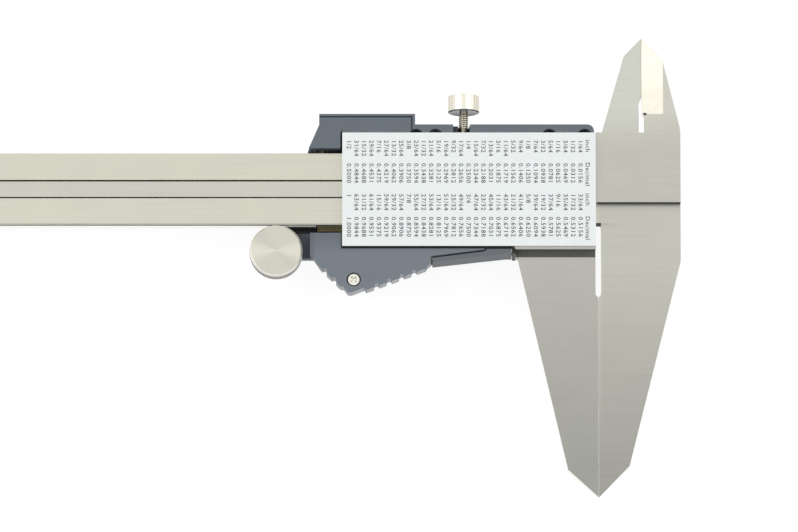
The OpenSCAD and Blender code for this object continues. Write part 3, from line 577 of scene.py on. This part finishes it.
prints = []
for (start, end), (head_x, head_start, head_end), heading, before, as_fraction in COLUMNS:
    counts = [before + i + 1 for i in range(ROWS)]
    lines = [fraction(n) if as_fraction else f"{n / PARTS:.4f}" for n in counts]
    prints.append(plate_text(lines, ROW_PITCH, ROW_FIRST, start, end))
    prints.append(plate_text([heading], 1, at(head_x, 0, 0), head_start, head_end))
settle(join(prints), "conversion_table", INK, "slider")


# ---------- lock screw ----------

LOCK_LOW, LOCK_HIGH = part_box("lock_screw")
LOCK_AXIS = at(-29.3, 0, 0)
HEAD_R, HEAD_H = 3.46, 3.4
FLUTES, SIDES = 24, 96
SIDE_ANGLE = 2 * math.pi / SIDES
FLUTE_WALL, FLUTE_DEPTH = 0.03, 0.12
CHAMFER, CHAMFER_H = 0.35, 0.16
DISH_RIM, DISH_DEPTH = 1.0, 0.14
SHANK_R, CORE_R, CORE_SIDES = 1.1, 0.88, 32
CORE_IN_HEAD = 0.4             # how far the core reaches into the head
THREAD_PITCH, THREAD_R = 0.45, 0.17
THREAD_START = 0.3             # plain end of the shank below the thread
THREAD_STEPS = 28
WELD = 0.0005                  # vertices nearer than this are one

head_low_y = LOCK_HIGH.y - HEAD_H * MM
head = solid_bar(HEAD_R, head_low_y, LOCK_HIGH.y, SIDES, LOCK_AXIS)


def flute_face(face):
    """True for the side faces that become flutes."""
    normal = face.normal
    if abs(normal.y) > 0.5:
        return False
    step = round((math.atan2(normal.z, normal.x) - SIDE_ANGLE / 2) / SIDE_ANGLE)
    return step % (SIDES // FLUTES) == 0


# flutes: every fourth side face is sunk
edit(head, FACES)
pick(head.data.polygons, flute_face)
bpy.ops.mesh.inset(thickness=FLUTE_WALL * MM, depth=-FLUTE_DEPTH * MM, use_individual=True)
bpy.ops.object.mode_set(mode="OBJECT")
# both ends are chamfered and dished
for end_y, normal_y in ((head_low_y, -1), (LOCK_HIGH.y, 1)):
    edit(head, FACES)
    pick(head.data.polygons, lambda f: f.normal.y * normal_y > 0.9 and abs(f.center.y - end_y) < 0.01 * MM)
    bpy.ops.mesh.inset(thickness=CHAMFER * MM, depth=0)
    bpy.ops.transform.translate(value=(0, normal_y * CHAMFER_H * MM, 0))
    bpy.ops.mesh.inset(thickness=DISH_RIM * MM, depth=-DISH_DEPTH * MM)
    bpy.ops.object.mode_set(mode="OBJECT")
core = solid_bar(CORE_R, LOCK_LOW.y, head_low_y + CORE_IN_HEAD * MM, CORE_SIDES, LOCK_AXIS)

# the thread: a small triangle swung round the shank's axis
bpy.ops.object.select_all(action="DESELECT")
bpy.ops.mesh.primitive_circle_add(vertices=3, radius=THREAD_R * MM, location=(0, 0, 0),
                                  rotation=(math.radians(90), math.radians(90), 0))
thread = bpy.context.object
bpy.ops.object.transform_apply(location=True, rotation=True, scale=True)
widest = max(v.co.x for v in thread.data.vertices)
for v in thread.data.vertices:
    v.co.x += SHANK_R * MM - widest
sweep = thread.modifiers.new("thread", "SCREW")
sweep.axis = "Z"
sweep.screw_offset = THREAD_PITCH * MM
sweep.iterations = int((head_low_y - LOCK_LOW.y) / MM / THREAD_PITCH) - 1
sweep.steps = sweep.render_steps = THREAD_STEPS
sweep.use_normal_calculate = True
bpy.ops.object.modifier_apply(modifier="thread")
edit(thread, EDGES)
bpy.ops.object.mode_set(mode="EDIT")
bpy.ops.mesh.select_all(action="SELECT")
bpy.ops.mesh.remove_doubles(threshold=WELD * MM)
bpy.ops.mesh.fill_holes(sides=3)
bpy.ops.mesh.normals_make_consistent(inside=False)
bpy.ops.object.mode_set(mode="OBJECT")
thread.rotation_euler = (math.radians(-90), 0, 0)
thread.location = (LOCK_AXIS.x, LOCK_LOW.y + THREAD_START * MM, LOCK_AXIS.z)
bpy.ops.object.transform_apply(location=True, rotation=True, scale=True)
LOCK = settle(join([head, core, thread]), "lock_screw_turned", LOCK_NICKEL, "lock_screw")
bpy.ops.object.shade_smooth_by_angle(angle=math.radians(28))
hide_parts("lock_screw")


# ---------- gold pads at the edge of the reader board ----------

BOARD = NODES["reader_board"]
BOARD_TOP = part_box("reader_board")[1].z
PAD_COLUMNS, PAD_PITCH = 8, 0.62
PAD_ROW_R = (0.136, 0.17)      # the pads' radius in the lower and in the upper row
PAD_ROW_STEP, PAD_ROW_SHIFT = 0.5, 0.2
PAD_SIDES, PAD_H, PAD_LIFT = 12, 0.03, 0.01
pad_middle = on_surface(*POINTS["reader_pads"], BOARD)
pads = []
for column in range(PAD_COLUMNS):
    for row, radius in enumerate(PAD_ROW_R):
        along = (column - (PAD_COLUMNS - 1) / 2) * PAD_PITCH + row * PAD_ROW_SHIFT
        across = (row - 0.5) * PAD_ROW_STEP
        bpy.ops.object.select_all(action="DESELECT")
        bpy.ops.mesh.primitive_cylinder_add(
            vertices=PAD_SIDES, radius=radius * MM, depth=PAD_H * MM,
            location=(pad_middle.x + along * MM, pad_middle.y + across * MM, BOARD_TOP + PAD_LIFT * MM))
        pads.append(bpy.context.object)
PADS = settle(join(pads), "reader_board_pads", GOLD_PADS, "slider")


# ---------- prints on the display side ----------

FILM_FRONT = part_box("scale_film")[0].z
CASE_FRONT = at(0, 0, -10.8).z
LCD_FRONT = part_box("display_panel")[0].z
PRINT_MM = 0.008               # thickness of what is printed, half of it in the surface
SCALE_ZERO = -69.0             # the case's end stands at 0 on the scale when the jaws are closed
SCALE_MM, INCH = 300, 25.4
SCALE_INCHES = int(SCALE_MM / INCH)
MM_TICK, INCH_TICK = 0.12, 0.14  # width of the graduations
MM_FOOT, MM_CAP, MM_DIGIT = -2.3, 1.6, 1.0           # the numbers' foot, their height and one digit's width
INCH_FOOT, INCH_CAP, INCH_DIGIT = 2.9, 1.7, 0.9
INCH_ASIDE = 1.3               # the inch numbers stand this far beside their graduation
FACE_DOWN = (0, 180, 0)        # how text is turned to be read from the display side


def tile(x, y, z, width, height):
    """A printed rectangle: its middle in millimetres from the jaws' line, and its height in the row frame."""
    bpy.ops.object.select_all(action="DESELECT")
    middle = at(x, y, 0)
    bpy.ops.mesh.primitive_cube_add(size=1, location=(middle.x, middle.y, z))
    made = bpy.context.object
    made.scale = (width * MM, height * MM, PRINT_MM * MM)
    bpy.ops.object.transform_apply(location=True, rotation=True, scale=True)
    return made


def ticks(count, pitch, low, high, width):
    """A row of graduations from the scale's zero, between two heights on the film."""
    made = tile(SCALE_ZERO, (low + high) / 2, FILM_FRONT, width, high - low)
    row = made.modifiers.new("row", "ARRAY")
    row.count = count
    row.use_relative_offset, row.use_constant_offset = False, True
    row.constant_offset_displace = (-pitch * MM, 0, 0)
    bpy.ops.object.modifier_apply(modifier="row")
    return made


def front_text(words, x, foot, cap, width, z):
    """Words to be read from the display side: their middle, their foot, and the width that they fill."""
    start = at(x + width / 2, foot, 0)
    made = lettering([words], cap, 1, (start.x, start.y, z), FACE_DOWN, thick=PRINT_MM)
    return fitted(made, 0, at(x - width / 2, 0, 0).x, at(x + width / 2, 0, 0).x)


# each tick is as long as the ones finer than it and a further step
scale = [
    ticks(SCALE_MM + 1, 1, -6.0, -4.4, MM_TICK),
    ticks(SCALE_MM // 5 + 1, 5, -4.4, -3.6, MM_TICK),
    ticks(SCALE_MM // 10 + 1, 10, -3.6, -2.8, MM_TICK),
    ticks(int(SCALE_MM / INCH * 10) + 1, INCH / 10, 4.6, 6.0, INCH_TICK),
    ticks(SCALE_INCHES + 1, INCH, 3.2, 4.6, INCH_TICK),
]
for tens in range(SCALE_MM // 10 + 1):
    digits = str(tens * 10)
    scale.append(front_text(digits, SCALE_ZERO - tens * 10, MM_FOOT, MM_CAP,
                            MM_DIGIT * len(digits), FILM_FRONT))
for inch in range(1, SCALE_INCHES + 1):
    digits = str(inch)
    scale.append(front_text(digits, SCALE_ZERO - inch * INCH - INCH_ASIDE, INCH_FOOT, INCH_CAP,
                            INCH_DIGIT * len(digits), FILM_FRONT))
settle(join(scale), "beam_scale", INK, "beam")

# the reading: three noughts of six segments, the point, and the unit
SEGMENT, DIGIT_W, DIGIT_H = 0.75, 3.6, 6.8
DIGITS_X, READING_Y = (-31.6, -37.2, -42.4), 6.2
ACROSS_GAP, UP_GAP = 0.2, 0.3  # how much shorter a segment is than its place
POINT_SIZE = 0.8
UNIT_X, UNIT_CAP, UNIT_W = -48.4, 2.2, 4.4
reading_foot = READING_Y - DIGIT_H / 2
reading = []
for x in DIGITS_X:
    for side in (-1, 1):
        reading.append(tile(x, READING_Y + side * DIGIT_H / 2, LCD_FRONT,
                            DIGIT_W - SEGMENT - ACROSS_GAP, SEGMENT))
        for half in (-1, 1):
            reading.append(tile(x + side * DIGIT_W / 2, READING_Y + half * DIGIT_H / 4, LCD_FRONT,
                                SEGMENT, DIGIT_H / 2 - UP_GAP))
reading.append(tile((DIGITS_X[0] + DIGITS_X[1]) / 2, reading_foot, LCD_FRONT, POINT_SIZE, POINT_SIZE))
reading.append(front_text("mm", UNIT_X, reading_foot - UP_GAP, UNIT_CAP, UNIT_W, LCD_FRONT))
settle(join(reading), "display_reading", SEGMENTS, "slider")

# what the buttons do, printed above each button
LEGEND_FOOT, LEGEND_CAP = -4.7, 1.15
legends = []
for words, width, button in (("ON/OFF", 5.2, "power_button"), ("mm/in", 4.6, "unit_button"),
                             ("ZERO", 3.8, "zero_button")):
    low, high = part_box(button)
    middle_x = ((low.x + high.x) / 2 - JAW_LINE.x) / MM
    legends.append(front_text(words, middle_x, LEGEND_FOOT, LEGEND_CAP, width, CASE_FRONT))
settle(join(legends), "button_legends", WHITE_INK, "slider")


# ---------- floor, light, world ----------

FLOOR_SIZE = 8                 # m
FLOOR_DROP = 0.3               # how far the floor lies under the object, mm


def sees_white(tree):
    """1 for the rays that show the white itself: from the camera, in reflections and through glass."""
    path = add(tree, "LightPath").outputs
    seen = add(tree, "Math", {0: path["Is Camera Ray"], 1: path["Is Glossy Ray"]}, operation="MAXIMUM")
    seen = add(tree, "Math", {0: seen.outputs[0], 1: path["Is Transmission Ray"]}, operation="MAXIMUM")
    return seen.outputs[0]


def studio_white(name):
    """White sweep: shows white behind the object and in its reflections, and keeps its soft shadow."""
    made, tree, out, _ = finish(name)
    body = add(tree, "BsdfDiffuse", {"Color": colour("e2e2e2")})
    pale = add(tree, "BsdfDiffuse", {"Color": colour("7c7c7c")})
    glow = add(tree, "Emission", {"Color": colour("ffffff"), "Strength": 0.9})
    both = add(tree, "AddShader", {0: pale.outputs[0], 1: glow.outputs[0]})
    surface = add(tree, "MixShader", {0: sees_white(tree), 1: body.outputs[0], 2: both.outputs[0]})
    tree.links.new(surface.outputs[0], out.inputs["Surface"])
    return made


bpy.ops.object.select_all(action="DESELECT")
bpy.ops.mesh.primitive_plane_add(size=FLOOR_SIZE, location=(0, 0, -FLOOR_DROP * MM))
floor = bpy.context.object
floor.name = "floor"
floor.data.materials.append(studio_white("paper_sweep_white"))

world = bpy.data.worlds.new("studio")
bpy.context.scene.world = world
world.use_nodes = True
sky = world.node_tree
sky.nodes.clear()
sky_out = sky.nodes.new("ShaderNodeOutputWorld")
lit = add(sky, "Background", {"Color": colour("f6f8ff"), "Strength": 0.5})
white = add(sky, "Background", {"Color": colour("ffffff"), "Strength": 1.0})
sky_mix = add(sky, "MixShader", {0: sees_white(sky), 1: lit.outputs[0], 2: white.outputs[0]})
sky.links.new(sky_mix.outputs[0], sky_out.inputs["Surface"])


def softbox(name, place, size, watts, tint):
    """A rectangular soft lamp that faces what the camera aims at."""
    data = bpy.data.lights.new(name, "AREA")
    data.shape = "RECTANGLE"
    data.size, data.size_y = size
    data.energy = watts
    data.color = colour(tint)[:3]
    lamp = bpy.data.objects.new(name, data)
    bpy.context.scene.collection.objects.link(lamp)
    lamp.location = place
    lamp.rotation_euler = (Vector(place) - AIM).to_track_quat("Z", "Y").to_euler()


softbox("lamp_left", (-0.55, 0.1, 0.75), (0.7, 0.7), 3.0, "fffaf2")
softbox("lamp_right", (0.85, 0.1, 0.75), (0.7, 0.7), 2.6, "fffaf2")
softbox("lamp_top", (0.15, 0.75, 0.8), (0.9, 0.4), 1.8, "ffffff")

bpy.context.scene.view_settings.view_transform = "Standard"


# ---------- image points and size ----------

LOCK_SHOWS_FROM = 12.6         # the lock screw shows above this height over the beam's middle, mm


def corner_near(x, y, *pieces):
    """The shown place of the pieces' vertex that shows nearest to an image point."""
    return min((shown(v.co) for piece in pieces for v in piece.data.vertices),
               key=lambda p: (p[0] - x) ** 2 + (p[1] - y) ** 2)


def middle_shown(piece, keep=lambda co: True):
    """The middle of the box that a piece's vertices fill in the image."""
    seen = [shown(v.co) for v in piece.data.vertices if keep(v.co)]
    return tuple((min(p[i] for p in seen) + max(p[i] for p in seen)) / 2 for i in (0, 1))


beam, slide, rear = NODES["beam"], NODES["slider_frame"], NODES["housing_rear"]
outline = [shown(v.co) for piece in (beam, slide, LOCK) for v in piece.data.vertices]
found = {
    "object_right_x": max(p[0] for p in outline),
    "object_top_y": min(p[1] for p in outline),
    "object_bottom_y": max(p[1] for p in outline),
    "lock_screw": middle_shown(LOCK, lambda co: co.y > at(0, LOCK_SHOWS_FROM, 0).y),
    "thumb_wheel": middle_shown(NODES["thumb_wheel"]),
    "grip_screw": middle_shown(NODES["grip_screw"], lambda co: co.z > JAW_LINE.z),
    "reader_pads": middle_shown(PADS),
    "first_row": shown(ROW_FIRST),
    "last_row": shown(ROW_LAST),
}
CARRIERS = {
    "jaw_tip": (beam, slide), "inside_jaw_tip": (beam, slide), "sliding_jaw_knee": (slide,),
    "fixed_jaw_knee": (beam,), "slit_end": (beam, slide), "conversion_plate_top_left": (PLATE,),
    "conversion_plate_low_right": (PLATE,), "block_top_right": (rear,), "grip_tip": (rear,),
    "frame_low_left_of_jaw": (slide,), "inside_jaw_shoulder": (slide,),
}
for point_name, carriers in CARRIERS.items():
    found[point_name] = corner_near(*POINTS[point_name], *carriers)
bpy.context.view_layer.update()
